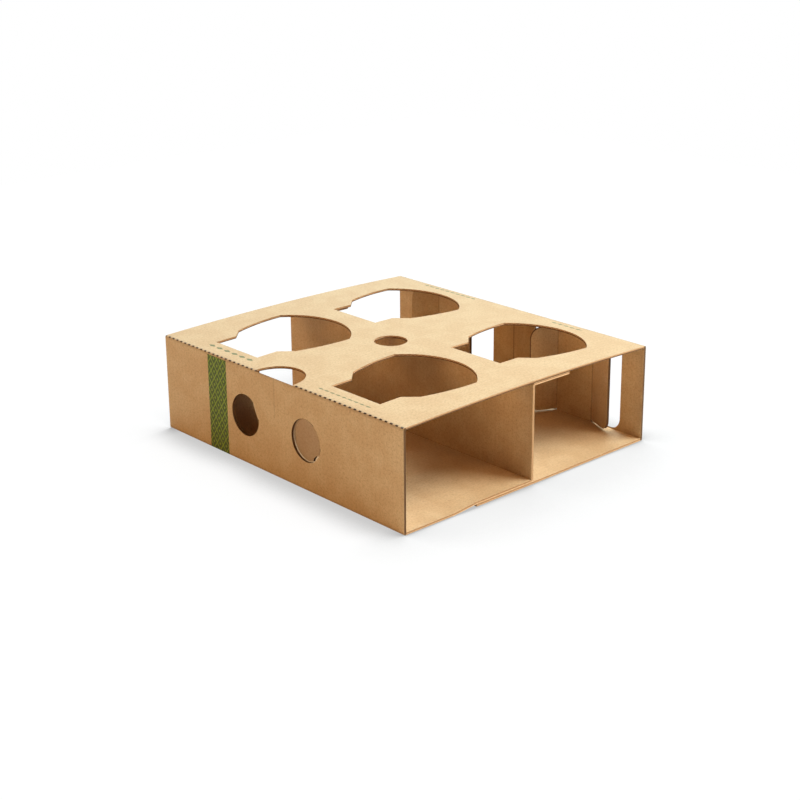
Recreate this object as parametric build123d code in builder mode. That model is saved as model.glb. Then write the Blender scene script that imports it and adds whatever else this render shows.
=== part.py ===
# Cup carrier folded and glued from one die-cut blank of corrugated board.
#
# The blank is one long strip. It is wound up like this, seen from its open end:
# glue flange under the top, divider, inner floor, front wall, top panel, back
# wall and bottom panel, whose last stretch is glued under the inner floor.
# X runs along the fold lines, the front wall faces -Y, and the floor is at Z = 0.

import math
import os

from build123d import *

# Overall size
LENGTH = 220.0  # along the fold lines, from open end to open end
WIDTH = 200.0  # from the front wall to the back wall, outside
HEIGHT = 61.5  # from the floor to the creases of the top panel
CROWN = 2.0  # how far the middle of the top panel springs up

# Board and its folds
BOARD = 1.5  # thickness of the corrugated board
CREASE_RADIUS = 0.15  # inside of a fold
KERF = 0.4  # gap that the cutting rule leaves round a pushed-out flap

# Inner strip
DIVIDER_OFFSET = 0.25  # middle of the divider, behind the middle of the carrier
FLANGE_WIDTH = 31.0  # glued under the top panel, behind the divider
LAP_WIDTH = 45.0  # bottom panel glued under the inner floor
LAP_RAMP = 17.0  # run in which the inner floor climbs onto that lap
RAMP_BEND_RADIUS = 25.0  # the board bends gently at both ends of the ramp

# Cup cutouts, with depths measured from the straight front edge of each one
CUP_PITCH = 110.0  # between the two cups of a bay
FRONT_CUP_EDGE = 14.9  # from the front crease to the front pair
BACK_CUP_EDGE = 108.8  # from the front crease to the back pair
TAB_WIDTH = 41.2
TAB_DEPTH = 14.4
NECK_WIDTH = 57.2
NECK_DEPTH = 22.4
SHOULDER_WIDTH = 69.0
SHOULDER_DEPTH = 60.0
SIDE_SWELL = 1.6  # how far each side bows out between neck and shoulder
CUP_DEPTH = 77.6
FLANGE_CLEARANCE = 2.0  # the glue flange keeps this far back from the cutouts

# Cup flaps: the board of each cutout, folded down at its straight front edge
CUP_FLAP_GAP = 1.0  # a flap hung at the height of the creases clears the floor by this

# Openings for fingers
CENTRE_HOLE_RADIUS = 10.3
CENTRE_HOLE_OFFSET = 9.5  # in front of the middle of the carrier
FRONT_CUTS_SHIFT = -0.45  # notch and finger cuts, off the middle towards the left end
NOTCH_RADIUS = 17.6  # half-round bite out of the top panel at the front crease
NOTCH_SETBACK = 1.6  # its centre, behind the outside of the front wall
NOTCH_WALL_DROP = 1.0  # the wall's cut edge there, below the crease
FINGER_HOLE_RADIUS = 13.0
FINGER_HOLE_PITCH = 56.7  # between the two finger cuts in the front wall
FINGER_HINGE_ANGLE = 25.5  # middle of a disc's hinge, up from the right
FINGER_HINGE_SPAN = 65.0  # the hinge is the chord of this angle
OPEN_DISC_SWING = 78.0  # the left disc is pushed right in
SHUT_DISC_SWING = 5.0  # the right one has only been started
NICK_RADIUS = 7.7  # shallow bite in the rim of a disc, for a fingernail
NICK_REACH = 18.5  # its centre, from the middle of the disc
NICK_ANGLE = 106.5  # its direction, from the direction that leads away from the hinge

# Window flaps of the back wall, two for each back cup
SEAT_INNER = 40.0  # the panel between the two flaps, from the carrier's middle
SEAT_OUTER = 70.0
INNER_FLAP_LENGTH = 20.0
OUTER_FLAP_LENGTH = 22.0
FLAP_CORNER_RADIUS = 8.0
WINDOW_BOTTOM = 1.7  # above the floor
WINDOW_TOP_GAP = 1.9  # below the top crease
OUTER_FLAP_SWING = 20.0
RIGHT_INNER_FLAP_SWING = 65.0
LEFT_INNER_FLAP_SWING = 44.0

# Places that follow from the sizes above
HALF = BOARD / 2
BEND = CREASE_RADIUS + HALF  # radius of a fold in the middle of the board
WALL_Y = WIDTH / 2 - HALF  # middle of the front and back walls
CREASE_Z = HEIGHT - HALF  # middle of the top panel at its creases
CROWN_RADIUS = (WALL_Y**2 + CROWN**2) / (2 * CROWN)
CROWN_CENTRE_Z = CREASE_Z + CROWN - CROWN_RADIUS
FINGER_HINGE_REACH = FINGER_HOLE_RADIUS * math.cos(math.radians(FINGER_HINGE_SPAN / 2))


def under_crown(y, depth):
    """Point of the section that lies depth below the middle of the top panel."""
    return (y, CROWN_CENTRE_Z + math.sqrt((CROWN_RADIUS - depth) ** 2 - y**2))


def sleeve_section():
    """Front wall, top panel, back wall and bottom panel as one run of board."""
    with BuildSketch(Plane.YZ) as section:
        with BuildLine() as run:
            Line((-WALL_Y, BEND + HALF), (-WALL_Y, CREASE_Z))
            ThreePointArc((-WALL_Y, CREASE_Z), under_crown(0, 0), (WALL_Y, CREASE_Z))
            Line((WALL_Y, CREASE_Z), (WALL_Y, HALF))
            Line((WALL_Y, HALF), (-LAP_WIDTH, HALF))
            fillet(run.vertices(), BEND)
        trace(line_width=BOARD)
    return section.sketch


def inner_section():
    """Glue flange, divider and inner floor as one run, down to the front wall."""
    flange_end = DIVIDER_OFFSET - HALF + FLANGE_WIDTH
    ramp_top = -LAP_WIDTH
    ramp_foot = -LAP_WIDTH - LAP_RAMP
    with BuildSketch(Plane.YZ) as section:
        with BuildLine() as run:
            ThreePointArc(
                under_crown(flange_end, BOARD),
                under_crown(flange_end / 2, BOARD),
                under_crown(DIVIDER_OFFSET, BOARD),
            )
            Line(under_crown(DIVIDER_OFFSET, BOARD), (DIVIDER_OFFSET, BOARD + HALF))
            Line((DIVIDER_OFFSET, BOARD + HALF), (ramp_top, BOARD + HALF))
            Line((ramp_top, BOARD + HALF), (ramp_foot, HALF))
            Line((ramp_foot, HALF), (-WALL_Y, HALF))
            Line((-WALL_Y, HALF), (-WALL_Y, 2 * BEND + HALF))
            ramp_ends = run.vertices().filter_by_position(Axis.Y, ramp_foot, ramp_top)
            folds = run.vertices() - ramp_ends
            fillet(ramp_ends, RAMP_BEND_RADIUS)
            fillet(folds, BEND)
        trace(line_width=BOARD)
    return section.sketch


def cup_outline():
    """One cup cutout: straight tab in front, flared neck, swelling sides, round back."""
    neck = (NECK_WIDTH / 2, NECK_DEPTH)
    shoulder = (SHOULDER_WIDTH / 2, SHOULDER_DEPTH)
    with BuildSketch() as outline:
        with BuildLine():
            Polyline((0, 0), (TAB_WIDTH / 2, 0), (TAB_WIDTH / 2, TAB_DEPTH), neck)
            SagittaArc(neck, shoulder, -SIDE_SWELL)
            mirror(about=Plane.YZ)
            ThreePointArc(shoulder, (0, CUP_DEPTH), (-shoulder[0], shoulder[1]))
        make_face()
    return outline.sketch


def cup_cutouts(edge, clearance=0.0):
    """The two cutouts of one bay, whose front edge lies behind the front crease."""
    with BuildSketch(Plane.XY.offset(HEIGHT / 2)) as cutouts:
        with Locations((-CUP_PITCH / 2, edge - WIDTH / 2), (CUP_PITCH / 2, edge - WIDTH / 2)):
            add(cup_outline())
        offset(amount=clearance, kind=Kind.INTERSECTION)
    return cutouts.sketch


def cup_flap_outline():
    """Flap that a cup cutout leaves on its hinge, ended straight across."""
    length = CREASE_Z - BOARD - CUP_FLAP_GAP
    with BuildSketch() as outline:
        add(cup_outline(), rotation=-90)
        offset(amount=-KERF, kind=Kind.INTERSECTION)
        Rectangle(TAB_DEPTH, TAB_WIDTH - 2 * KERF, align=(Align.MIN, Align.CENTER))
        Rectangle(
            length,
            2 * SHOULDER_WIDTH,
            align=(Align.MIN, Align.CENTER),
            mode=Mode.INTERSECT,
        )
    return outline.sketch


def notch():
    """Half-round bite at the front crease, behind the front wall's own thickness."""
    with BuildSketch(Plane.XY.offset(HEIGHT / 2)) as bite:
        with Locations((FRONT_CUTS_SHIFT, NOTCH_SETBACK - WIDTH / 2)):
            Circle(NOTCH_RADIUS)
        with Locations((FRONT_CUTS_SHIFT, BOARD - WIDTH / 2)):
            Rectangle(
                2 * NOTCH_RADIUS,
                NOTCH_RADIUS,
                align=(Align.CENTER, Align.MAX),
                mode=Mode.SUBTRACT,
            )
    return bite.sketch


def flap_outline(length, clearance):
    """Upright flap that starts at its hinge, with both free corners rounded."""
    bottom = WINDOW_BOTTOM + clearance
    top = HEIGHT - WINDOW_TOP_GAP - clearance
    with BuildSketch() as outline:
        with Locations((0, bottom)):
            Rectangle(length - clearance, top - bottom, align=(Align.MIN, Align.MIN))
        fillet(outline.vertices().group_by(Axis.X)[-1], FLAP_CORNER_RADIUS - clearance)
    return outline.sketch


def disc_outline(clearance):
    """Round cut that starts at its hinge, a chord of the circle."""
    with BuildSketch() as outline:
        with Locations((FINGER_HINGE_REACH, 0)):
            Circle(FINGER_HOLE_RADIUS - clearance)
        Rectangle(
            FINGER_HOLE_RADIUS,
            2 * FINGER_HOLE_RADIUS,
            align=(Align.MAX, Align.CENTER),
            mode=Mode.SUBTRACT,
        )
    return outline.sketch


def nicked_disc():
    """Finger disc as it is left in the cut, with the bite in its rim."""
    with BuildSketch() as disc:
        add(disc_outline(KERF))
        with Locations((FINGER_HINGE_REACH, 0)):
            with PolarLocations(NICK_REACH, 1, start_angle=NICK_ANGLE):
                Circle(NICK_RADIUS, mode=Mode.SUBTRACT)
    return disc.sketch


def hinge_plane(hinge, away, along, inward, swing):
    """Plane of a flap that leads away from its hinge and is swung inward."""
    turn = math.radians(swing)
    x_dir = Vector(away) * math.cos(turn) + Vector(inward) * math.sin(turn)
    return Plane(origin=hinge, x_dir=x_dir, z_dir=x_dir.cross(Vector(along)))


def back_flap_plane(hinge_x, away_x, swing):
    """Plane of a back window flap, hinged at hinge_x and swung towards the divider."""
    return hinge_plane((hinge_x, WALL_Y, 0), (away_x, 0, 0), (0, 0, 1), (0, -1, 0), swing)


def finger_disc_plane(side, swing):
    """Plane of a finger disc; its hinge chord lies up and to the right."""
    angle = math.radians(FINGER_HINGE_ANGLE)
    out = Vector(math.cos(angle), 0, math.sin(angle))
    centre = Vector(FRONT_CUTS_SHIFT + side * FINGER_HOLE_PITCH / 2, -WALL_Y, HEIGHT / 2)
    along = out.cross(Vector(0, -1, 0))
    return hinge_plane(centre + out * FINGER_HINGE_REACH, -out, along, (0, 1, 0), swing)


def swung_flap(outline, plane):
    """Flap board on its own plane, with the rounded bend of the board at its hinge."""
    spine = outline.edges().sort_by(Axis.X)[0]
    low = outline.vertices().group_by(Axis.X)[0].sort_by(Axis.Y)[0]
    with BuildPart() as flap:
        with BuildSketch(plane):
            add(outline)
        extrude(amount=HALF, both=True)
        foot = plane.from_local_coords(Vector(low.X, low.Y, 0))
        with BuildSketch(Plane(origin=foot, x_dir=plane.x_dir, z_dir=plane.y_dir)):
            Circle(HALF)
        extrude(amount=spine.length)
    return flap.part


def cup_flap_plane(x, edge):
    """Plane of a cup flap that hangs straight down from the top panel."""
    hinge_y, hinge_z = under_crown(edge - WIDTH / 2, 0)
    return hinge_plane((x, hinge_y, hinge_z), (0, 1, 0), (1, 0, 0), (0, 0, -1), 90)


# Each back flap: hinge, direction away from it, length and swing
BACK_FLAPS = [
    (SEAT_INNER, -1, INNER_FLAP_LENGTH, RIGHT_INNER_FLAP_SWING),
    (SEAT_OUTER, 1, OUTER_FLAP_LENGTH, OUTER_FLAP_SWING),
    (-SEAT_INNER, 1, INNER_FLAP_LENGTH, LEFT_INNER_FLAP_SWING),
    (-SEAT_OUTER, -1, OUTER_FLAP_LENGTH, OUTER_FLAP_SWING),
]

# Each finger disc: side of the carrier and swing
FINGER_DISCS = [(-1, OPEN_DISC_SWING), (1, SHUT_DISC_SWING)]

# Inner strip, cut back round the back pair of cups
with BuildPart() as inner_strip:
    extrude(inner_section(), amount=LENGTH / 2, both=True)
    extrude(cup_cutouts(BACK_CUP_EDGE, FLANGE_CLEARANCE), amount=HEIGHT, mode=Mode.SUBTRACT)

# The whole folded blank
with BuildPart() as folded_board:
    extrude(sleeve_section(), amount=LENGTH / 2, both=True)

    # Cups, centre hole and notch go through the top panel alone
    extrude(cup_cutouts(FRONT_CUP_EDGE), amount=HEIGHT, mode=Mode.SUBTRACT)
    extrude(cup_cutouts(BACK_CUP_EDGE), amount=HEIGHT, mode=Mode.SUBTRACT)
    extrude(notch(), amount=HEIGHT, mode=Mode.SUBTRACT)
    with BuildSketch(Plane.XY.offset(HEIGHT / 2)):
        with Locations((0, -CENTRE_HOLE_OFFSET)):
            Circle(CENTRE_HOLE_RADIUS)
    extrude(amount=HEIGHT, mode=Mode.SUBTRACT)
    with BuildSketch(Plane.XY.offset(HEIGHT - NOTCH_WALL_DROP)):
        with Locations((FRONT_CUTS_SHIFT, -WIDTH / 2)):
            Rectangle(2 * NOTCH_RADIUS, 2 * BOARD)
    extrude(amount=HEIGHT, mode=Mode.SUBTRACT)

    # Glued to itself along the flange and the lap
    add(inner_strip.part)

    # Cup flaps inside both bays
    for edge in (FRONT_CUP_EDGE, BACK_CUP_EDGE):
        for x in (-CUP_PITCH / 2, CUP_PITCH / 2):
            add(swung_flap(cup_flap_outline(), cup_flap_plane(x, edge)))

    # Window flaps of the back wall
    for hinge_x, away_x, flap_length, swing in BACK_FLAPS:
        with BuildSketch(back_flap_plane(hinge_x, away_x, 0)):
            add(flap_outline(flap_length, 0))
        extrude(amount=BOARD, both=True, mode=Mode.SUBTRACT)
        add(swung_flap(flap_outline(flap_length, KERF), back_flap_plane(hinge_x, away_x, swing)))

    # Finger discs of the front wall
    for side, swing in FINGER_DISCS:
        with BuildSketch(finger_disc_plane(side, 0)):
            add(disc_outline(0))
        extrude(amount=BOARD, both=True, mode=Mode.SUBTRACT)
        add(swung_flap(nicked_disc(), finger_disc_plane(side, swing)))

folded_board.part.label = "folded_board"
os.makedirs("parts", exist_ok=True)
export_step(folded_board.part, "parts/folded_board.step")
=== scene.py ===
# %% [markdown]
# A cup carrier folded from one sheet of corrugated board
#
# The real thing starts as a flat blank: one long strip that a die cuts, creases and
# perforates, and that a machine folds and glues. This lesson works in the same order.
# It draws the flat blank first, with every cutout, then cuts it into small triangles,
# and only then folds it. A folding formula gives each point its place in the air, so
# the pattern of the paper can follow the sheet round every crease.

# %% Load the frame that the model is built around
import math

import bpy
import numpy as np
from mathutils import Matrix, Vector, geometry


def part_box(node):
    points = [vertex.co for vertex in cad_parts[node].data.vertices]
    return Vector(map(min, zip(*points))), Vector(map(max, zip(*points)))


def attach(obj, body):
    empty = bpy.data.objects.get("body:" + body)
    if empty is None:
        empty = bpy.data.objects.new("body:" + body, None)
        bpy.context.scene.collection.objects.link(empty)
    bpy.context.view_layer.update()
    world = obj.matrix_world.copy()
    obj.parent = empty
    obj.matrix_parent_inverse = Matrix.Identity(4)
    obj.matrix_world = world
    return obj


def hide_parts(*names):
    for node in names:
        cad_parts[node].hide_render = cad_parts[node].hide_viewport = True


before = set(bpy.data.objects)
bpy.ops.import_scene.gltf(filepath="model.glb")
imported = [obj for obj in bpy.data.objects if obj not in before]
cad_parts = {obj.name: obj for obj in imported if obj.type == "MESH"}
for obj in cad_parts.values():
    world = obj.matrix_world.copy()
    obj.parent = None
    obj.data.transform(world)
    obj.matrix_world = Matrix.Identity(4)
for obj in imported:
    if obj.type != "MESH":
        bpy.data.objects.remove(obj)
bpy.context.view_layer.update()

# %% [markdown]
# Sizes
#
# Length, width and height are read from the frame, so the board fits it. The others
# are the sizes that a carton maker writes on the drawing of the blank, in millimetres.
# The board is drawn a micrometre inside the frame's box, so that rounding can't carry
# it out.

# %% Sizes of the carrier
MM = 0.001
low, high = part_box("folded_board")
LENGTH = (high.x - low.x) / MM
WIDTH = (high.y - low.y) / MM
CROWN = 2.0
SNUG = 0.001
HEIGHT = high.z / MM - CROWN - 2 * SNUG
BOARD = 1.5
LINER = 0.2
GLUE = 0.05
HALF = BOARD / 2
FOLD_RADIUS = 0.9
WALL_Y = WIDTH / 2 - HALF - SNUG
CREASE_Z = HEIGHT - HALF
DIVIDER_Y = 0.25
FLANGE_WIDTH = 31.0
FLANGE_END = DIVIDER_Y - HALF + FLANGE_WIDTH
LAP_WIDTH = 45.0
LAP_RAMP = 17.0
RAMP_RADIUS = 25.0
FRONT_SHIFT = -0.45
print("outside:", round(LENGTH, 2), "x", round(WIDTH, 2), "x", round(HEIGHT, 2), "mm")

# %% [markdown]
# The folded section
#
# Seen from an open end the board is one line that winds round: glue flange, divider,
# inner floor, front wall, top panel, back wall and bottom panel. A drawing turtle can
# walk that line. Each step has a length and a turn, and a panel is a step whose turn
# is zero. The top panel springs up a little, so it is a long step with a slight turn.

# %% Steps of the section
CROWN_RADIUS = (WALL_Y**2 + CROWN**2) / (2 * CROWN)
CROWN_CENTRE_Z = CREASE_Z + CROWN - CROWN_RADIUS
FLANGE_RADIUS = CROWN_RADIUS - BOARD - GLUE
TILT = math.asin(WALL_Y / CROWN_RADIUS)
QUARTER = math.pi / 2
TOP_TRIM = FOLD_RADIUS * math.tan((QUARTER - TILT) / 2)
INNER_FLOOR_Z = BOARD + HALF + GLUE
ramp_angle = math.atan((INNER_FLOOR_Z - HALF) / LAP_RAMP)
ramp_trim = RAMP_RADIUS * math.tan(ramp_angle / 2)
flange_turn = math.asin(FLANGE_END / FLANGE_RADIUS) - math.asin((DIVIDER_Y + FOLD_RADIUS) / FLANGE_RADIUS)
top_half_turn = math.asin((WALL_Y - TOP_TRIM) / CROWN_RADIUS)
top_fold = QUARTER - top_half_turn
divider_fold = QUARTER + math.asin((DIVIDER_Y + FOLD_RADIUS) / FLANGE_RADIUS)
divider_top_z = CROWN_CENTRE_Z + math.sqrt(FLANGE_RADIUS**2 - DIVIDER_Y**2)
floor_run = WALL_Y - FOLD_RADIUS - LAP_WIDTH - LAP_RAMP - ramp_trim

SHARP_TURN = 1.0
# Each step: name, length, turn to the left in radians
STEPS = [
    ("flange", FLANGE_RADIUS * flange_turn, flange_turn),
    ("divider crease", FOLD_RADIUS * divider_fold, divider_fold),
    ("divider", divider_top_z - INNER_FLOOR_Z - 2 * FOLD_RADIUS, 0),
    ("divider foot", FOLD_RADIUS * QUARTER, -QUARTER),
    ("inner floor", LAP_WIDTH + DIVIDER_Y - FOLD_RADIUS - ramp_trim, 0),
    ("ramp top", RAMP_RADIUS * ramp_angle, ramp_angle),
    ("ramp", math.hypot(LAP_RAMP, INNER_FLOOR_Z - HALF) - 2 * ramp_trim, 0),
    ("ramp foot", RAMP_RADIUS * ramp_angle, -ramp_angle),
    ("front floor", floor_run, 0),
    ("front foot", FOLD_RADIUS * QUARTER, -QUARTER),
    ("front wall", CREASE_Z - TOP_TRIM - HALF - FOLD_RADIUS, 0),
    ("front crease", FOLD_RADIUS * top_fold, -top_fold),
    ("top panel", 2 * CROWN_RADIUS * top_half_turn, -2 * top_half_turn),
    ("back crease", FOLD_RADIUS * top_fold, -top_fold),
    ("back wall", CREASE_Z - TOP_TRIM - HALF - FOLD_RADIUS, 0),
    ("back foot", FOLD_RADIUS * QUARTER, -QUARTER),
    ("bottom panel", WALL_Y - FOLD_RADIUS + LAP_WIDTH, 0),
]
step_ends = np.cumsum([0.0] + [step[1] for step in STEPS])
SPAN = {step[0]: (a, b) for step, a, b in zip(STEPS, step_ends[:-1], step_ends[1:])}
BLANK_LENGTH = step_ends[-1]
print("flat blank:", round(LENGTH), "x", round(BLANK_LENGTH, 1), "mm in", len(STEPS), "steps")

# %% The walk along the section
WALK_STEP = 0.02
start_angle = math.pi - math.asin(FLANGE_END / FLANGE_RADIUS)
walk_s = np.arange(0.0, BLANK_LENGTH + WALK_STEP, WALK_STEP)
headings = start_angle + np.cumsum([0.0] + [step[2] for step in STEPS])
walk_angle = np.interp(walk_s, step_ends, headings)
middle_angle = (walk_angle[1:] + walk_angle[:-1]) / 2
start_z = CROWN_CENTRE_Z + math.sqrt(FLANGE_RADIUS**2 - FLANGE_END**2)
walk_y = FLANGE_END + WALK_STEP * np.concatenate([[0.0], np.cumsum(np.cos(middle_angle))])
walk_z = start_z + WALK_STEP * np.concatenate([[0.0], np.cumsum(np.sin(middle_angle))])


def section(s):
    """Place and heading of the board's middle at distance s along the section."""
    return np.interp(s, walk_s, walk_y), np.interp(s, walk_s, walk_z), np.interp(s, walk_s, walk_angle)


end_y, end_z, _ = section(BLANK_LENGTH)
print("walk ends at y", round(float(end_y), 2), "z", round(float(end_z), 2), "mm; wanted", -LAP_WIDTH, HALF)

# %% [markdown]
# Drawing on the flat blank
#
# A point of the blank is (x, s): x along the creases and s along the section. A cutout
# that is dimensioned on the standing carrier is moved to the blank by the helpers
# below, one for each panel. Long curves are divided finely enough to look round.

# %% From the panels to the blank
def on_top(y):
    """Distance s of a place y on the top panel: arc length of the crown from its middle."""
    return sum(SPAN["top panel"]) / 2 + CROWN_RADIUS * np.arcsin(np.asarray(y) / CROWN_RADIUS)


def on_flange(y):
    """Distance s of a place y on the glue flange, which runs the other way."""
    angle = np.arcsin(np.asarray(y) / FLANGE_RADIUS)
    return FLANGE_RADIUS * (math.asin(FLANGE_END / FLANGE_RADIUS) - angle)


def on_front(z):
    """Distance s of a height z on the front wall."""
    return SPAN["front wall"][0] + np.asarray(z) - HALF - FOLD_RADIUS


def on_back(z):
    """Distance s of a height z on the back wall, where s runs down."""
    return SPAN["back wall"][1] - (np.asarray(z) - HALF - FOLD_RADIUS)


# %% Curves of the die
CUT_SPACING = 0.75


def run(points, spacing=CUT_SPACING):
    """Straight runs through the points, divided evenly; the last point is left out."""
    points = np.asarray(points, float)
    parts = []
    for a, b in zip(points[:-1], points[1:]):
        count = max(1, math.ceil(np.hypot(*(b - a)) / spacing))
        parts.append(a + np.outer(np.arange(count) / count, b - a))
    return np.concatenate(parts)


def arc(centre, radius, start, end, spacing=CUT_SPACING):
    """Arc from one angle to another, in radians, divided evenly; the last point is left out."""
    count = max(3, math.ceil(abs(end - start) * radius / spacing))
    angle = start + (end - start) * np.arange(count) / count
    return np.stack([centre[0] + radius * np.cos(angle), centre[1] + radius * np.sin(angle)], 1)


def bulge(a, b, rise):
    """Arc from a to b that stands out by rise on the right; radius = (half chord^2 + rise^2) / (2 rise)."""
    a, b = np.asarray(a, float), np.asarray(b, float)
    half_chord = np.hypot(*(b - a)) / 2
    radius = (half_chord**2 + rise**2) / (2 * rise)
    way = (b - a) / (2 * half_chord)
    right = np.array([way[1], -way[0]])
    centre = (a + b) / 2 - right * (radius - rise)
    start = math.atan2(*(a - centre)[::-1])
    turn = 2 * math.asin(half_chord / radius)
    return arc(centre, radius, start, start + turn)


# %% [markdown]
# Cup cutouts
#
# Each cup drops into a cutout with a straight tab in front, a flared neck, sides that
# swell a little and a round back. Both sides are mirror images, so one side is drawn
# and turned over. The board of the cutout stays on its straight front edge and hangs
# down as a flap. The glue flange has its own bites for the back pair, a bit wider.

# %% One cup cutout
CUP_PITCH = 110.0
FRONT_CUP_INSET = 14.9
BACK_CUP_INSET = 108.8
FRONT_CUP_Y = FRONT_CUP_INSET - WIDTH / 2
BACK_CUP_Y = BACK_CUP_INSET - WIDTH / 2
TAB = (20.6, 14.4)
NECK = (28.6, 22.4)
SHOULDER = (34.5, 60.0)
SIDE_SWELL = 1.6
CUP_DEPTH = 77.6
FLANGE_CLEARANCE = 2.0


def cup_outline(grow=0.0):
    """Right side from the tab's middle to the back's, then its mirror image.

    The back is an arc through both shoulders, with radius = (shoulder^2 + sag^2) / (2 sag). Growing
    moves the sides out by grow, and the ends of the neck's slant by grow times tan(22.5 degrees).
    """
    sag = CUP_DEPTH - SHOULDER[1]
    radius = (SHOULDER[0] ** 2 + sag**2) / (2 * sag)
    centre = (0.0, CUP_DEPTH - radius)
    tab_x, neck_x = TAB[0] + grow, NECK[0] + grow
    slant = grow * (math.sqrt(2) - 1)
    side_a, side_b = (neck_x, NECK[1] - slant), (SHOULDER[0] + grow, SHOULDER[1] + grow / 2)
    right = np.concatenate([
        run([(0, -grow), (tab_x, -grow), (tab_x, TAB[1] - slant), side_a]),
        bulge(side_a, side_b, SIDE_SWELL),
        arc(centre, math.hypot(side_b[0], side_b[1] - centre[1]),
            math.atan2(side_b[1] - centre[1], side_b[0]), QUARTER),
        [(0.0, centre[1] + math.hypot(side_b[0], side_b[1] - centre[1]))],
    ])
    left = right[1:-1][::-1] * [-1, 1]
    return np.concatenate([right, left])


print("cup cutout:", len(cup_outline()), "points,", 2 * SHOULDER[0], "mm wide")

# %% The same cups in the edge of the flange
# The flange ends in front of the cups' backs, so only the front of each outline is cut
# there. It joins the end of the blank, which is drawn as one outline with both bites.
flange_bites = []
for cup_x in (CUP_PITCH / 2, -CUP_PITCH / 2):
    cup = cup_outline(FLANGE_CLEARANCE) + [cup_x, BACK_CUP_Y]
    near = cup[cup[:, 1] < FLANGE_END]
    near = near[np.argsort(np.arctan2(near[:, 0] - cup_x, FLANGE_END - near[:, 1]))]
    flange_bites.append(np.stack([near[:, 0], on_flange(near[:, 1])], 1))
print("flange bites:", [len(bite) for bite in flange_bites])

# %% [markdown]
# Centre hole, thumb notch and finger cuts
#
# The centre hole is a plain circle. The notch is a circle too, but the front wall
# stays whole, so its lower side is a straight cut just under the crease. A finger cut
# is a round slot that leaves a hinge: the disc stays on the wall and swings inward.

# %% Centre hole and notch
CENTRE_HOLE = (0.0, -9.5)
CENTRE_HOLE_RADIUS = 10.3
NOTCH_RADIUS = 17.6
NOTCH_INSET = 1.6
NOTCH_Y = NOTCH_INSET - WIDTH / 2
NOTCH_DROP = 1.0
FULL_TURN = 2 * math.pi
cuts = []
hole = arc(CENTRE_HOLE, CENTRE_HOLE_RADIUS, 0, FULL_TURN)
cuts.append(np.stack([hole[:, 0], on_top(hole[:, 1])], 1))
notch_low = float(on_front(HEIGHT - NOTCH_DROP))
notch_centre = (FRONT_SHIFT, float(on_top(NOTCH_Y)))
notch_dip = math.asin((notch_centre[1] - notch_low) / NOTCH_RADIUS)
bite = arc(notch_centre, NOTCH_RADIUS, -notch_dip, math.pi + notch_dip)
notch_half = NOTCH_RADIUS * math.cos(notch_dip)
straight = run([(FRONT_SHIFT - notch_half, notch_low), (FRONT_SHIFT + notch_half, notch_low)])
cuts.append(np.concatenate([bite, straight]))
print("notch:", round(2 * notch_half, 1), "mm wide at the wall")

# %% [markdown]
# Flaps that swing
#
# A flap is drawn once, on its own small plane: u leads away from the hinge and v runs
# along it. The die leaves a slot as wide as its rule everywhere but at the hinge, and a
# wider one round the window flaps. The flap then gets a place, a direction and a swing,
# and the folding formula does the rest.

# %% Outlines of cup flaps, window flaps and finger discs
KERF = 0.4
FLAP_BEND = 0.95
FLAP_CORNER = 8.0
WINDOW_GAP = 0.9
WINDOW_LOW = 1.7
WINDOW_HIGH = HEIGHT - 1.9
FINGER_RADIUS = 13.0
FINGER_HINGE_HALF = math.radians(32.5)
FINGER_HINGE_REACH = FINGER_RADIUS * math.cos(FINGER_HINGE_HALF)
NICK_RADIUS = 7.7
NICK_REACH = 18.5
NICK_ANGLE = math.radians(106.5)
FLAP_TO_FLOOR = 1.0
CUP_FLAP_LENGTH = CREASE_Z - BOARD - FLAP_TO_FLOOR
BEHIND_TAB = 0.1
STRAIGHT_END = 0.2


def cup_flap_outline(back, inset):
    """Cup outline from back behind its hinge; inset by a whole kerf it ends straight across."""
    half = TAB[0] - inset
    shape = cup_outline(-inset)
    shape = shape[shape[:, 1] > inset + BEHIND_TAB]
    if inset == KERF:
        right = shape[(shape[:, 0] > 0) & (shape[:, 1] < CUP_FLAP_LENGTH - STRAIGHT_END)]
        end = float(np.interp(CUP_FLAP_LENGTH, right[:, 1], right[:, 0]))
        across = run([(end, CUP_FLAP_LENGTH), (-end, CUP_FLAP_LENGTH)])
        shape = np.concatenate([right, across, [(-end, CUP_FLAP_LENGTH)], right[::-1] * [-1, 1]])
    shape = np.concatenate([[(half, -back), (half, 0)], shape, [(-half, 0), (-half, -back)]])
    return shape[:, ::-1]


def window_outline(length, back, inset):
    """Upright flap from back behind its hinge to its tip, smaller by inset; a kerf becomes its gap."""
    inset = WINDOW_GAP if inset == KERF else inset
    half = (WINDOW_HIGH - WINDOW_LOW) / 2 - inset
    tip, corner = length - inset, FLAP_CORNER - inset
    return np.concatenate([
        run([(-back, -half), (tip - corner, -half)]),
        arc((tip - corner, corner - half), corner, -QUARTER, 0),
        run([(tip, corner - half), (tip, half - corner)]),
        arc((tip - corner, half - corner), corner, 0, QUARTER),
        run([(tip - corner, half), (-back, half)]),
        [(-back, half)],
    ])


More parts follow.
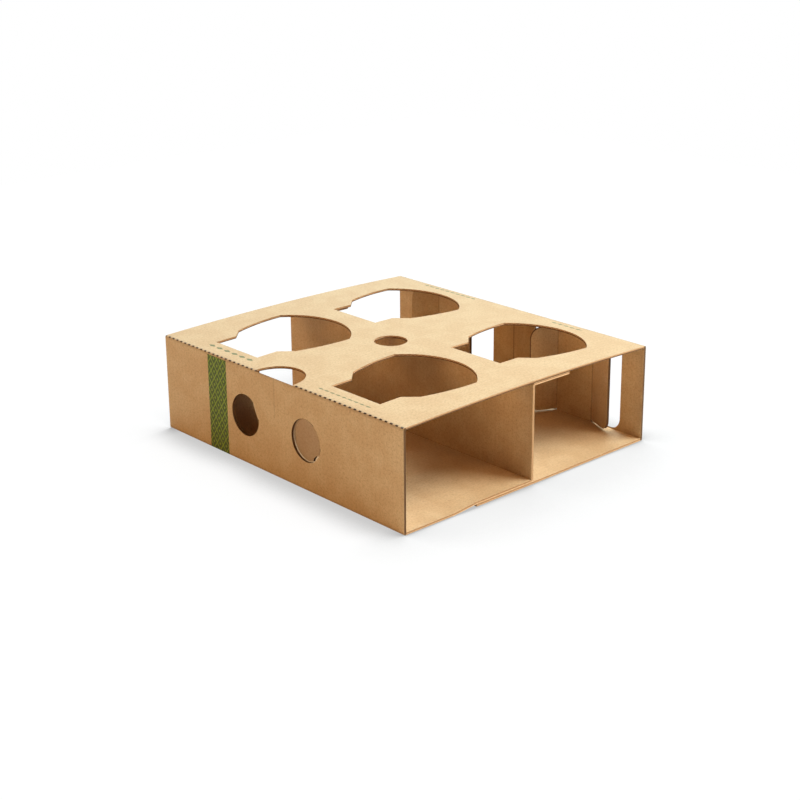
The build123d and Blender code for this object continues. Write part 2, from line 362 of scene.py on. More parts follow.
def disc_outline(back, inset):
    """Finger disc from back behind its hinge, round its far side and back again.

    Inset by a whole kerf it also has a small bite: rim points inside the nick's circle go to its edge.
    """
    radius = FINGER_RADIUS - inset
    start = math.acos(-min(1.0, (FINGER_HINGE_REACH + back) / radius))
    rim = arc((FINGER_HINGE_REACH, 0), radius, -start, start)
    rim = np.concatenate([rim, [(FINGER_HINGE_REACH + radius * math.cos(start), radius * math.sin(start))]])
    if inset < KERF:
        return rim
    nick_way = np.array([math.cos(NICK_ANGLE), math.sin(NICK_ANGLE)])
    nick = np.array([FINGER_HINGE_REACH, 0.0]) + NICK_REACH * nick_way
    away = rim - nick
    gap = np.hypot(away[:, 0], away[:, 1])
    pushed = nick + away * (NICK_RADIUS / np.maximum(gap, 1e-9))[:, None]
    return np.where((gap < NICK_RADIUS)[:, None], pushed, rim)


# %% Where the flaps are and how far they have swung
FINGER_HINGE = math.radians(25.5)
FINGER_PITCH = 56.7
SEAT_INNER = 40.0
SEAT_OUTER = 70.0
window_s = float(on_back((WINDOW_LOW + WINDOW_HIGH) / 2))
finger_s = float(on_front(HEIGHT / 2))


def flap(name, outline, hinge, half, away, swing):
    """One flap; its bend begins ahead of the hinge by the bend's radius times tan(swing / 2)."""
    swing = math.radians(swing)
    lead = FLAP_BEND * math.tan(swing / 2)
    return {"name": name, "outline": outline, "hinge": np.array(hinge) - lead * np.array(away),
            "half": half, "away": np.array(away), "swing": swing, "lead": lead}


def cup_flap(name, cup_x, cup_y):
    """The flap of a cup cutout, which hangs straight down."""
    return flap(name, lambda back, inset, lead: cup_flap_outline(back, inset) + [lead, 0],
                (cup_x, float(on_top(cup_y))), TAB[0], (0.0, 1.0), 90.0)


def window_flap(name, hinge_x, way, length, swing):
    """A window flap of the back wall."""
    return flap(name, lambda back, inset, lead: window_outline(length, back, inset) + [lead, 0],
                (hinge_x, window_s), (WINDOW_HIGH - WINDOW_LOW) / 2, (way, 0.0), swing)


def finger_disc(name, side, swing):
    """A finger disc of the front wall, hinged up and to the right."""
    out = np.array([math.cos(FINGER_HINGE), math.sin(FINGER_HINGE)])
    centre = np.array([FRONT_SHIFT + side * FINGER_PITCH / 2, finger_s])
    return flap(name, lambda back, inset, lead: disc_outline(back, inset) + [lead, 0],
                centre + out * FINGER_HINGE_REACH, FINGER_RADIUS * math.sin(FINGER_HINGE_HALF), -out, swing)


FLAPS = [
    cup_flap("front left cup flap", -CUP_PITCH / 2, FRONT_CUP_Y),
    cup_flap("front right cup flap", CUP_PITCH / 2, FRONT_CUP_Y),
    cup_flap("back left cup flap", -CUP_PITCH / 2, BACK_CUP_Y),
    cup_flap("back right cup flap", CUP_PITCH / 2, BACK_CUP_Y),
    window_flap("right inner flap", SEAT_INNER, -1.0, 20.0, 65.0),
    window_flap("right outer flap", SEAT_OUTER, 1.0, 23.0, 24.0),
    window_flap("left inner flap", -SEAT_INNER, 1.0, 23.0, 44.0),
    window_flap("left outer flap", -SEAT_OUTER, -1.0, 22.0, 20.0),
    finger_disc("open finger disc", -1, 78.0),
    finger_disc("shut finger disc", 1, 5.0),
]


def to_blank(flap, points):
    """Flap points (u, v) on the blank: hinge + u away from it + v along it."""
    away = flap["away"]
    along = np.array([-away[1], away[0]])
    return flap["hinge"] + np.outer(points[:, 0], away) + np.outer(points[:, 1], along)


for item in FLAPS:
    outside = item["outline"](item["lead"], 0.0, item["lead"])
    inside = item["outline"](item["lead"], KERF, item["lead"])
    cuts.append(to_blank(item, np.concatenate([outside, inside[::-1]])))
print("flaps:", ", ".join(item["name"] for item in FLAPS))

# %% [markdown]
# Perforated crease
#
# The front crease of the top panel is cut through in short dashes, so that it folds
# sharply. They show as a row of small dark marks along the edge. They are real slots
# here, each with a painted shade round it, and there are none where the notch takes
# the crease away.

# %% Slots of the perforation
SLOT_PITCH = 4.2
SLOT_LENGTH = 1.8
SLOT_WIDTH = 0.22
SLOT_PLACE = 0.6
SLOT_DIP = 0.38
SLOT_SPACING = 0.35
crease = SPAN["front crease"]
slot_s = crease[0] + SLOT_PLACE * (crease[1] - crease[0])
slot_x = np.arange(-LENGTH / 2 + SLOT_PITCH, LENGTH / 2 - SLOT_LENGTH, SLOT_PITCH)
slot_x = slot_x[np.abs(slot_x - FRONT_SHIFT) > notch_half + SLOT_LENGTH]
for x in slot_x:
    half_long, half_wide = SLOT_LENGTH / 2, SLOT_WIDTH / 2
    cuts.append(run([(x - half_long, slot_s - half_wide), (x + half_long, slot_s - half_wide),
                     (x + half_long, slot_s + half_wide), (x - half_long, slot_s + half_wide),
                     (x - half_long, slot_s - half_wide)], SLOT_SPACING))
print("perforation:", len(slot_x), "slots")

# %% [markdown]
# Rows and columns of the sheet
#
# The sheet gets a grid of points: even columns along the creases, and rows that crowd
# together where the board bends. Where cuts run along a fold, its rows are divided
# nearly as finely as the cuts, so that the fold stays round beside them. Points that
# would fall into a cutout or right beside a cut are dropped, because the cut has points
# of its own.

# %% Grid of the sheet
PANEL_SPACING = 3.4
FOLD_SPACING = 1.0
FOLD_ROWS = 8
CUT_FOLDS = ("front crease", "back crease", "back foot")
BEND_ROWS = 6
HINGE_CLEAR = 0.7
CUT_CLEAR = 0.3
FOLD_CLEAR = 0.12
ROW_TOLERANCE = 0.01
HINGE_END = 1.0
HINGE_POINTS = 5
rows = []
for (name, length, turn), start in zip(STEPS, step_ends[:-1]):
    tight = abs(turn) > SHARP_TURN
    count = FOLD_ROWS if tight else max(2, math.ceil(length / PANEL_SPACING))
    rows.append(start + length * np.arange(count) / count)
rows = np.concatenate(rows + [[BLANK_LENGTH]])
columns = np.linspace(-LENGTH / 2, LENGTH / 2, round(LENGTH / PANEL_SPACING) + 1)
print("grid:", len(columns), "columns,", len(rows), "rows")

# %% Outline of the blank
side_rows = []
for a, b in zip(rows[:-1], rows[1:]):
    count = max(1, math.ceil((b - a) / CUT_SPACING))
    side_rows.append(a + (b - a) * np.arange(count) / count)
side_rows = np.concatenate(side_rows)
side = LENGTH / 2
right_side = np.stack([np.full(len(side_rows), side), side_rows], 1)
left_side = np.stack([np.full(len(side_rows), -side), side_rows], 1)[1:][::-1]
far_end = run([(side, BLANK_LENGTH), (-side, BLANK_LENGTH)])
# The flange edge runs from left to right, with the two bites in it
right_bite, left_bite = flange_bites
if left_bite[0, 0] > left_bite[-1, 0]:
    left_bite, right_bite = left_bite[::-1], right_bite[::-1]
left_start = np.array([left_bite[0, 0], 0.0])
left_stop = np.array([left_bite[-1, 0], 0.0])
right_start = np.array([right_bite[0, 0], 0.0])
right_stop = np.array([right_bite[-1, 0], 0.0])
flange_edge = np.concatenate([
    run([(-side, 0.0), left_start]), [left_start], left_bite[1:-1],
    run([left_stop, right_start]), [right_start], right_bite[1:-1],
    run([right_stop, (side, 0.0)]),
])
border = np.concatenate([flange_edge, right_side, far_end, [(-side, BLANK_LENGTH)], left_side])
print("border:", len(border), "points")


# %% Which grid points stay
CLEAR_BLOCK = 500
INSIDE_BLOCK = 2000


def inside(points, outline):
    """True for points inside a closed outline: a ray to the right crosses it an odd number of times."""
    x, y = points[:, 0][:, None], points[:, 1][:, None]
    x0, y0 = outline[:, 0], outline[:, 1]
    x1, y1 = np.roll(x0, -1), np.roll(y0, -1)
    spans = (y0 > y) != (y1 > y)
    rise = np.where(y1 == y0, 1.0, y1 - y0)
    crosses = x < x0 + (y - y0) * (x1 - x0) / rise
    return np.count_nonzero(spans & crosses, axis=1) % 2 == 1


def clear_of(points, others, distance):
    """True for points whose step along x plus step along s to each of the others exceeds distance."""
    keep = np.ones(len(points), bool)
    for start in range(0, len(points), CLEAR_BLOCK):
        block = points[start:start + CLEAR_BLOCK]
        step = np.abs(block[:, None, :] - others[None, :, :])
        gap = step[:, :, 0] + step[:, :, 1]
        keep[start:start + CLEAR_BLOCK] = gap.min(axis=1) > distance
    return keep


grid = np.stack(np.meshgrid(columns[1:-1], rows[1:-1]), -1).reshape(-1, 2)
# The folds that cuts run along get their own finer points
in_fold = np.zeros(len(rows), bool)
for name in CUT_FOLDS:
    in_fold |= (rows > SPAN[name][0] - ROW_TOLERANCE) & (rows < SPAN[name][1] + ROW_TOLERANCE)
fold_columns = np.linspace(-LENGTH / 2, LENGTH / 2, round(LENGTH / FOLD_SPACING) + 1)
grid = grid[~np.isin(grid[:, 1], rows[in_fold])]
fold_grid = np.stack(np.meshgrid(fold_columns[1:-1], rows[in_fold]), -1).reshape(-1, 2)
hinge_rows = []
for item in FLAPS:
    bend = FLAP_BEND * item["swing"]
    u = np.linspace(0, bend, BEND_ROWS)
    reach = item["half"] - HINGE_END
    v = np.linspace(-reach, reach, max(HINGE_POINTS, round(item["half"])))
    hinge_rows.append(to_blank(item, np.stack(np.meshgrid(u, v), -1).reshape(-1, 2)))
hinge_rows = np.concatenate(hinge_rows)
grid = grid[clear_of(grid, hinge_rows, HINGE_CLEAR)]
grid = np.concatenate([grid, hinge_rows])
all_cuts = np.concatenate(cuts + [border])
grid = grid[clear_of(grid, all_cuts, CUT_CLEAR)]
grid = np.concatenate([grid, fold_grid[clear_of(fold_grid, all_cuts, FOLD_CLEAR)]])
for outline in cuts:
    near = (np.abs(grid - outline.mean(axis=0)) < np.ptp(outline, axis=0)).all(axis=1)
    gone = np.zeros(len(grid), bool)
    gone[near] = inside(grid[near], outline)
    grid = grid[~gone]
print("points:", len(all_cuts), "on the cuts and", len(grid), "inside the sheet")

# %% [markdown]
# Triangles
#
# A constrained Delaunay triangulation joins the points into well shaped triangles and
# keeps every cut as a line of edges. Triangles whose middle lies in a cutout, or off
# the blank, are thrown away.

# %% Triangulate the blank
MERGE_DISTANCE = 1e-5
points = np.concatenate([all_cuts, grid])
constraints = []
offset = 0
for outline in cuts + [border]:
    index = offset + np.arange(len(outline))
    constraints.append(np.stack([index, np.roll(index, -1)], 1))
    offset += len(outline)
constraints = np.concatenate(constraints)
vectors = [Vector(p) for p in points.tolist()]
flat, _, triangles, _, _, _ = geometry.delaunay_2d_cdt(vectors, constraints.tolist(), [], 0,
                                                        MERGE_DISTANCE)
flat = np.array([tuple(p) for p in flat])
triangles = np.array([tuple(t) for t in triangles])
middles = flat[triangles].mean(axis=1)
keep = np.zeros(len(triangles), bool)
for start in range(0, len(middles), INSIDE_BLOCK):
    keep[start:start + INSIDE_BLOCK] = inside(middles[start:start + INSIDE_BLOCK], border)
for outline in cuts:
    near = (np.abs(middles - outline.mean(axis=0)) < np.ptp(outline, axis=0)).all(axis=1)
    keep[near] &= ~inside(middles[near], outline)
triangles = triangles[keep]
side_a = flat[triangles[:, 1]] - flat[triangles[:, 0]]
side_b = flat[triangles[:, 2]] - flat[triangles[:, 0]]
clockwise = side_a[:, 0] * side_b[:, 1] - side_a[:, 1] * side_b[:, 0] < 0
triangles[clockwise] = triangles[clockwise][:, ::-1]
used = np.unique(triangles)
renumber = np.full(len(flat), -1)
renumber[used] = np.arange(len(used))
flat, triangles = flat[used], renumber[triangles]
print("blank:", len(flat), "points,", len(triangles), "triangles")

# %% [markdown]
# Folding
#
# The folding formula moves a point of the blank, at height t above the board's middle,
# to its place in the air: it walks s along the section and stands t off it, at a right
# angle to the heading. A flap adds its own bend: within the bend the point follows a
# circle of the bend's radius, and past it a straight line at the full swing. On the
# outside of the box the board is crushed where it folds, so the corner is sharper than
# a round tube: there the liner is drawn half of the way out to the square corner.

# %% Crushed corners
CORNER_CRUSH = 0.5
OUTER_RADIUS = FOLD_RADIUS + HALF


def corner_push(s, t):
    """CORNER_CRUSH of the way to the fold's square corner at the outer liner, fading to none inside."""
    push = np.zeros_like(s)
    for name in ("front foot", "front crease", "back crease", "back foot"):
        start, end = SPAN[name]
        half_turn = (end - start) / FOLD_RADIUS / 2
        from_middle = np.abs(s - (start + end) / 2) / FOLD_RADIUS
        reach = OUTER_RADIUS * (1 / np.cos(np.maximum(half_turn - from_middle, 0)) - 1)
        push = np.where(from_middle < half_turn, reach, push)
    return CORNER_CRUSH * push * (t + HALF) / BOARD


foot_middle = np.array([sum(SPAN["front foot"]) / 2])
print("a corner is drawn out by", round(float(corner_push(foot_middle, HALF)[0]), 2), "mm")


# %% The folding formula
def fold(x, s, t, flap_index):
    """Section place plus t along the outward normal; a flap goes on from its hinge, round its bend."""
    blank = np.stack([x, s], 1)
    hinged = blank.copy()
    reach = np.zeros(len(x))
    for number, item in enumerate(FLAPS):
        own = flap_index == number
        reach[own] = np.maximum((blank[own] - item["hinge"]) @ item["away"], 0)
        hinged[own] -= np.outer(reach[own], item["away"])
    y, z, angle = section(hinged[:, 1])
    heading = np.stack([np.zeros_like(s), np.cos(angle), np.sin(angle)], 1)
    outward = np.stack([np.zeros_like(s), -np.sin(angle), np.cos(angle)], 1)
    place = np.stack([hinged[:, 0], y, z], 1) + outward * (t + corner_push(hinged[:, 1], t))[:, None]
    for number, item in enumerate(FLAPS):
        own = flap_index == number
        away = item["away"][0] * np.array([1.0, 0, 0]) + item["away"][1] * heading[own]
        bend = FLAP_BEND * item["swing"]
        turned = np.minimum(reach[own], bend) / FLAP_BEND
        past = np.maximum(reach[own] - bend, 0)
        radius = FLAP_BEND + t[own]
        along = radius * np.sin(turned) + past * np.cos(turned)
        inward = radius * (1 - np.cos(turned)) + past * np.sin(turned)
        place[own] += away * along[:, None] - outward[own] * inward[:, None]
    return place


flap_index = np.full(len(flat), -1)
for number, item in enumerate(FLAPS):
    outline = to_blank(item, item["outline"](item["lead"], KERF / 2, item["lead"]))
    own = inside(flat, outline)
    u = (flat - item["hinge"]) @ item["away"]
    flap_index[own & (u > 0)] = number
print("points on flaps:", int((flap_index >= 0).sum()))

# %% [markdown]
# Cut edges
#
# Corrugated board is two smooth liners with a wavy sheet between them. Where the die
# has cut it, the core sinks in a little. So each cut gets a small profile that is
# carried along it: liner, shallow groove, liner. At a corner of the cut the groove
# keeps its depth on both sides, as a mitre does, up to a limit.

# %% Rims of the sheet
MITRE_LIMIT = 1.6
edges = np.concatenate([triangles[:, [0, 1]], triangles[:, [1, 2]], triangles[:, [2, 0]]])
count_of_points = len(flat)
keys = edges[:, 0] * count_of_points + edges[:, 1]
back_keys = edges[:, 1] * count_of_points + edges[:, 0]
rim_edges = edges[~np.isin(keys, back_keys)]
rim = np.unique(rim_edges)
rim_number = np.full(count_of_points, -1)
rim_number[rim] = np.arange(len(rim))
edge_way = flat[rim_edges[:, 1]] - flat[rim_edges[:, 0]]
edge_way /= np.maximum(np.hypot(edge_way[:, 0], edge_way[:, 1]), 1e-9)[:, None]
edge_in = np.stack([-edge_way[:, 1], edge_way[:, 0]], 1)
into = np.zeros((len(rim), 2))
np.add.at(into, rim_number[rim_edges[:, 0]], edge_in)
np.add.at(into, rim_number[rim_edges[:, 1]], edge_in)
length = np.hypot(into[:, 0], into[:, 1])
into /= np.maximum(length, 1e-6)[:, None]
into *= np.minimum(2.0 / np.maximum(length, 1e-6), MITRE_LIMIT)[:, None]
print("rim:", len(rim), "points; the blank's cut edges add up to",
      round(float(np.hypot(*(flat[rim_edges[:, 1]] - flat[rim_edges[:, 0]]).T).sum())), "mm")

# %% Profile of a cut edge
GROOVE = 0.12
GROOVE_WALL = 0.03
GROOVE_SIDE = 0.85
FUZZ = 0.035
RNG = np.random.default_rng(7)
# Each level: height above the middle of the board, and its share of the groove's depth
LEVELS = [(HALF - LINER, 0.0), (HALF - LINER - GROOVE_WALL, GROOVE_SIDE), (0.0, 1.0),
          (LINER + GROOVE_WALL - HALF, GROOVE_SIDE), (LINER - HALF, 0.0)]
fuzz = RNG.normal(0, FUZZ, (len(LEVELS), len(rim)))
level_points, level_t = [], []
for (t, sink), rough in zip(LEVELS, fuzz):
    depth = GROOVE * sink + np.abs(rough)
    level_points.append(flat[rim] + into * depth[:, None])
    level_t.append(np.full(len(rim), t))
blank_xs = np.concatenate([flat, flat] + level_points)
blank_t = np.concatenate([np.full(len(flat), HALF), np.full(len(flat), -HALF)] + level_t)
blank_flap = np.concatenate([flap_index, flap_index] + [flap_index[rim]] * len(LEVELS))
place = fold(blank_xs[:, 0], blank_xs[:, 1], blank_t, blank_flap) + [0, 0, SNUG]

# %% [markdown]
# Shade of the cut edges
#
# Little light reaches into a cut edge that faces down or stands close to another panel.
# A number on each point says how deep in shade it lies. On a level panel it is 0 in the
# upper half of the board and grows to 1 at the lower face. The walls have one value all
# over, the glue flange, divider and inner floor have none, and the floors have part of
# it. Only the finish of the cut edges uses the number.

# %% A shade for each point
WALL_EDGE_SHADE = 0.6
FLOOR_EDGE_SHARE = 0.55
SHADE_CHECK = 0.5
middle_z = fold(blank_xs[:, 0], blank_xs[:, 1], np.zeros(len(blank_t)), blank_flap)[:, 2]
edge_shade = np.clip((middle_z - place[:, 2]) / HALF, 0, 1)
s_of_point = blank_xs[:, 1]
on_walls = (s_of_point > SPAN["front foot"][0]) & (s_of_point < SPAN["front crease"][1])
on_walls |= (s_of_point > SPAN["back crease"][0]) & (s_of_point < SPAN["back foot"][1])
edge_shade[on_walls] = WALL_EDGE_SHADE
edge_shade[s_of_point < SPAN["front floor"][0]] = 0
on_floors = (s_of_point >= SPAN["front floor"][0]) & (s_of_point < SPAN["front foot"][0])
on_floors |= s_of_point > SPAN["bottom panel"][0]
edge_shade[on_floors] *= FLOOR_EDGE_SHARE
print("shaded points:", int((edge_shade > SHADE_CHECK).sum()))

# %% Faces of both liners and of the rims
outer = triangles
inner = triangles[:, ::-1] + len(flat)
first_level = 2 * len(flat)
top_ring, bottom_ring = rim_edges, rim_edges + len(flat)
rings = [top_ring]
for number in range(len(LEVELS)):
    rings.append(first_level + number * len(rim) + rim_number[rim_edges])
rings.append(bottom_ring)
walls = []
for upper, lower in zip(rings[:-1], rings[1:]):
    walls.append(np.stack([upper[:, 0], lower[:, 0], lower[:, 1]], 1))
    walls.append(np.stack([upper[:, 0], lower[:, 1], upper[:, 1]], 1))
walls = np.concatenate(walls)
faces = np.concatenate([outer, inner, walls])
face_finish = np.repeat([0, 1, 2], [len(outer), len(inner), len(walls)])
print("board:", len(place), "points,", len(faces), "triangles")


# %% The board as a Blender mesh
SHARP_ANGLE = math.radians(32)


def board_mesh(name, place, faces):
    """Mesh from arrays of places in millimetres and triangles."""
    mesh = bpy.data.meshes.new(name)
    mesh.vertices.add(len(place))
    mesh.vertices.foreach_set("co", (place * MM).astype(np.float32).ravel())
    mesh.loops.add(3 * len(faces))
    mesh.loops.foreach_set("vertex_index", faces.astype(np.int32).ravel())
    mesh.polygons.add(len(faces))
    mesh.polygons.foreach_set("loop_start", np.arange(0, 3 * len(faces), 3, dtype=np.int32))
    mesh.update(calc_edges=True)
    mesh.polygons.foreach_set("use_smooth", np.ones(len(faces), bool))
    mesh.set_sharp_from_angle(angle=SHARP_ANGLE)
    return mesh


mesh = board_mesh("folded_sheet", place, faces)
blank_map = mesh.attributes.new("blank", "FLOAT_VECTOR", "POINT")
blank_place = np.column_stack([blank_xs, blank_t]) * MM
blank_map.data.foreach_set("vector", blank_place.astype(np.float32).ravel())
shade_map = mesh.attributes.new("edge_shade", "FLOAT", "POINT")
shade_map.data.foreach_set("value", edge_shade.astype(np.float32))
mesh.polygons.foreach_set("material_index", face_finish.astype(np.int32))
mesh.validate()
carrier = bpy.data.objects.new("folded_sheet", mesh)
bpy.context.scene.collection.objects.link(carrier)
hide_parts("folded_board")
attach(carrier, "root")
print("mesh:", len(mesh.vertices), "points,", len(mesh.polygons), "faces")

# %% [markdown]
# Kraft paper
#
# Kraft liner is unbleached wood pulp: a warm brown with a cloudy tone, fibres that lie
# mostly across the creases, and a few dark specks of bark. The flutes under it show
# through as faint ripples: a small bump, and a faint painted shade in their valleys. The
# same paper is on both sides of the board and at the cut edges, so it is a node group
# that each material uses with its own tones. All of it is worked out on the flat blank,
# from the place that each point had before folding, in metres. So a scale of 1600 makes
# noise with features of about 1/1600 m.


# %% Helpers for node trees
def linear(red, green, blue):
    """Colour picked on a screen, 0 to 255, as the light values that shaders use."""
    value = np.array([red, green, blue]) / 255
    value = np.where(value <= 0.04045, value / 12.92, ((value + 0.055) / 1.055) ** 2.4)
    return (*value.tolist(), 1.0)


class Tree:
    """Small helper that adds nodes to a tree and links them by socket name."""

    def __init__(self, tree):
        """Keep the tree that nodes are added to."""
        self.tree = tree

    def add(self, kind, values=None, **settings):
        """New node of a kind, with its settings made and its inputs fed."""
        node = self.tree.nodes.new(kind)
        for key, value in settings.items():
            setattr(node, key, value)
        for key, value in (values or {}).items():
            self.feed(value, node.inputs[key])
        return node

    def feed(self, value, socket):
        """Link an output to a socket, or set the socket to a value."""
        if isinstance(value, bpy.types.NodeSocket):
            self.tree.links.new(value, socket)
        else:
            socket.default_value = value

    def math(self, operation, a, b=0.0, c=0.0):
        """One operation on up to three numbers."""
        node = self.tree.nodes.new("ShaderNodeMath")
        node.operation = operation
        for value, socket in zip((a, b, c), node.inputs):
            self.feed(value, socket)
        return node.outputs[0]

    def ramp(self, value, low, high, start=0.0, end=1.0):
        """Smooth step from start, where value is low, to end, where it is high."""
        node = self.tree.nodes.new("ShaderNodeMapRange")
        node.interpolation_type = "SMOOTHSTEP"
        for number, item in enumerate((value, low, high, start, end)):
            self.feed(item, node.inputs[number])
        return node.outputs[0]

    def blend(self, amount, a, b):
        """Colour a, with amount of it replaced by colour b."""
        node = self.tree.nodes.new("ShaderNodeMix")
        node.data_type = "RGBA"
        self.feed(amount, node.inputs[0])
        self.feed(a, node.inputs[6])
        self.feed(b, node.inputs[7])
        return node.outputs[2]

    def noise(self, vector, scale, detail=2.0, roughness=0.5):
        """Cloudy noise from 0 to 1 with a middle of 0.5."""
        values = {"Vector": vector, "Scale": scale, "Detail": detail, "Roughness": roughness}
        return self.add("ShaderNodeTexNoise", values).outputs["Fac"]

    def stretched(self, vector, x, y, z=1.0):
        """Vector with each axis times its own factor."""
        node = self.add("ShaderNodeVectorMath", {0: vector, 1: (x, y, z)}, operation="MULTIPLY")
        return node.outputs[0]


def new_group(name, inputs, outputs):
    """Node group with named sockets; returns the group, its helper and its two end nodes."""
    group = bpy.data.node_groups.new(name, "ShaderNodeTree")
    for socket_name, kind, default in inputs:
        socket = group.interface.new_socket(socket_name, in_out="INPUT", socket_type=kind)
        if default is not None:
            socket.default_value = default
    for socket_name, kind in outputs:
        group.interface.new_socket(socket_name, in_out="OUTPUT", socket_type=kind)
    tree = Tree(group)
    return group, tree, tree.add("NodeGroupInput").outputs, tree.add("NodeGroupOutput").inputs


# %% The kraft paper group
FLUTE_PITCH = 3.4
BARK = linear(96, 62, 34)
COLOUR, NUMBER, PLACE = "NodeSocketColor", "NodeSocketFloat", "NodeSocketVector"
paper, tree, given, out = new_group(
    "kraft_paper",
    [("Blank", PLACE, None), ("Pale", COLOUR, None), ("Mid", COLOUR, None), ("Dark", COLOUR, None)],
    [("Color", COLOUR), ("Height", NUMBER), ("Roughness", NUMBER)],
)
cloud = tree.noise(given["Blank"], 70.0, 2.0, 0.5)
fibre = tree.noise(tree.stretched(given["Blank"], 1600.0, 600.0, 1.0), 1.0, 3.0, 0.6)
cross_fibre = tree.noise(tree.stretched(given["Blank"], 500.0, 1300.0, 1.0), 1.0, 2.0, 0.6)
grain = tree.math("MULTIPLY_ADD", cross_fibre, 0.4, tree.math("MULTIPLY", fibre, 0.6))
tone = tree.blend(tree.ramp(cloud, 0.38, 0.64), given["Mid"], given["Pale"])
tone = tree.blend(tree.ramp(grain, 0.56, 0.36, 0.0, 0.48), tone, given["Dark"])
speck = tree.noise(tree.stretched(given["Blank"], 260.0, 700.0, 1.0), 1.0, 2.0, 0.7)
tone = tree.blend(tree.ramp(speck, 0.70, 0.76, 0.0, 0.45), tone, BARK)
washboard = tree.add("ShaderNodeSeparateXYZ", {0: given["Blank"]}).outputs[0]
washboard = tree.math("SINE", tree.math("MULTIPLY", washboard, FULL_TURN / (FLUTE_PITCH * MM)))
# Painted shade in the valleys between the flutes' ripples
tone = tree.blend(tree.ramp(washboard, -1.0, 1.0, 0.07, 0.0), tone, given["Dark"])
height = tree.math("MULTIPLY_ADD", washboard, 0.1, grain)
tree.feed(tone, out["Color"])
tree.feed(height, out["Height"])
tree.feed(tree.ramp(grain, 0.3, 0.7, 0.86, 0.68), out["Roughness"])
print("group:", paper.name, "with", len(paper.nodes), "nodes")

# %% [markdown]
# Creases
#
# A crease is pressed into the board before folding: the liner is crushed along a line
# and a bit darker. A score is the same line within a panel: one runs down the upper
# part of the front wall, one down the back wall, and one lies at each window flap's
# hinge, where the dark line is partly the crushed liner and partly painted shade of the
# flap's bend. The first group measures how far a point is from each crease and score on
# the blank. Its mask is strongest on a line, and a second mask marks a painted shade
# round each slot of the perforation, where the liner dips in. The other group marks the
# finger disc that was pressed but stayed in its hole: it is tilted in a little, and its
# darker tone is a painted shade.

# %% The crease group
folds = [sum(SPAN[name]) / 2 for name, _, turn in STEPS if abs(turn) > SHARP_TURN]
creased, tree, given, out = new_group(
    "crease_lines",
    [("Blank", PLACE, None), ("Half Width", NUMBER, 0.0012)],
    [("Mask", NUMBER), ("Slot Shade", NUMBER)],
)
across, along = tree.add("ShaderNodeSeparateXYZ", {0: given["Blank"]}).outputs[:2]
nearest = None
for s in folds:
    gap = tree.math("ABSOLUTE", tree.math("SUBTRACT", along, s * MM))
    nearest = gap if nearest is None else tree.math("MINIMUM", nearest, gap)
fold_mask = tree.ramp(nearest, given["Half Width"], 0.0)
# Each score: its x, where it starts and stops along the blank, and how deep it is
BACK_SCORE_X = 1.5
BACK_SCORE_LOW = 5.0
FRONT_SCORE_LOW = 37.0
CREASE_WEIGHT = 0.4
SCORE_WIDTH_SHARE = 0.75
SLOT_SOFT = 0.0002
SCORES = [(FRONT_SHIFT, float(on_front(FRONT_SCORE_LOW)), float(on_front(HEIGHT)), 0.3),
          (BACK_SCORE_X, float(on_back(HEIGHT)), float(on_back(BACK_SCORE_LOW)), 1.0)]
SCORES += [(side * seat, float(on_back(WINDOW_HIGH)), float(on_back(WINDOW_LOW)), 0.9)
           for side in (-1, 1) for seat in (SEAT_INNER, SEAT_OUTER)]
score_half = tree.math("MULTIPLY", given["Half Width"], SCORE_WIDTH_SHARE)
score_mask = None
for x, start, stop, depth in SCORES:
    beside = tree.math("ABSOLUTE", tree.math("SUBTRACT", across, x * MM))
    beyond = tree.math("ABSOLUTE", tree.math("SUBTRACT", along, (start + stop) / 2 * MM))
    beyond = tree.math("SUBTRACT", beyond, (stop - start) / 2 * MM)
    line = tree.ramp(tree.math("MAXIMUM", beside, beyond), score_half, 0.0, 0.0, depth)
    score_mask = line if score_mask is None else tree.math("MAXIMUM", score_mask, line)
fold_mask = tree.math("MULTIPLY", fold_mask, CREASE_WEIGHT)
tree.feed(tree.math("MAXIMUM", fold_mask, score_mask), out["Mask"])
# Painted shade round each slot of the perforation, darker and wider than its cut, where the liner dips in
from_slot = tree.math("SUBTRACT", across, slot_x[0] * MM)
from_slot = tree.math("PINGPONG", from_slot, SLOT_PITCH / 2 * MM)
slot_end = SLOT_LENGTH / 2 * MM
slot_shade_mask = tree.ramp(from_slot, slot_end + SLOT_SOFT, slot_end)
off_slot = tree.math("ABSOLUTE", tree.math("SUBTRACT", along, slot_s * MM))
slot_shade_mask = tree.math("MULTIPLY", slot_shade_mask, tree.ramp(off_slot, SLOT_DIP * MM, SLOT_DIP / 2 * MM))
tree.feed(slot_shade_mask, out["Slot Shade"])
print("group:", creased.name, "for", len(folds), "creases and", len(SCORES), "scores")

# %% The group of the shut disc's painted shade
DISC_SOFT = 0.0003
disc_shade_group, tree, given, out = new_group(
    "shut_disc_shade",
    [("Blank", PLACE, None)],
    [("Mask", NUMBER)],
)
flat_place = tree.stretched(given["Blank"], 1.0, 1.0, 0.0)
disc_middle = ((FRONT_SHIFT + FINGER_PITCH / 2) * MM, finger_s * MM, 0.0)
from_disc = tree.add("ShaderNodeVectorMath", {0: flat_place, 1: disc_middle}, operation="DISTANCE")
disc_edge = (FINGER_RADIUS - KERF) * MM
# Painted shade over the shut disc, which is pushed in and tilted a little
disc_shade_mask = tree.ramp(from_disc.outputs["Value"], disc_edge + DISC_SOFT, disc_edge - DISC_SOFT)
tree.feed(disc_shade_mask, out["Mask"])
print("group:", disc_shade_group.name, "round a disc of", FINGER_RADIUS, "mm")

# %% [markdown]
# Print
#
# The front wall carries a green band, printed before cutting. The pattern in it here is
# a plain diamond lattice with a dot in each diamond, a motif as old as basket weaving.
# Beside the cutouts the top panel has short rows of small olive lozenges. Ink on kraft
# is thin: the paper's fibres show through it.

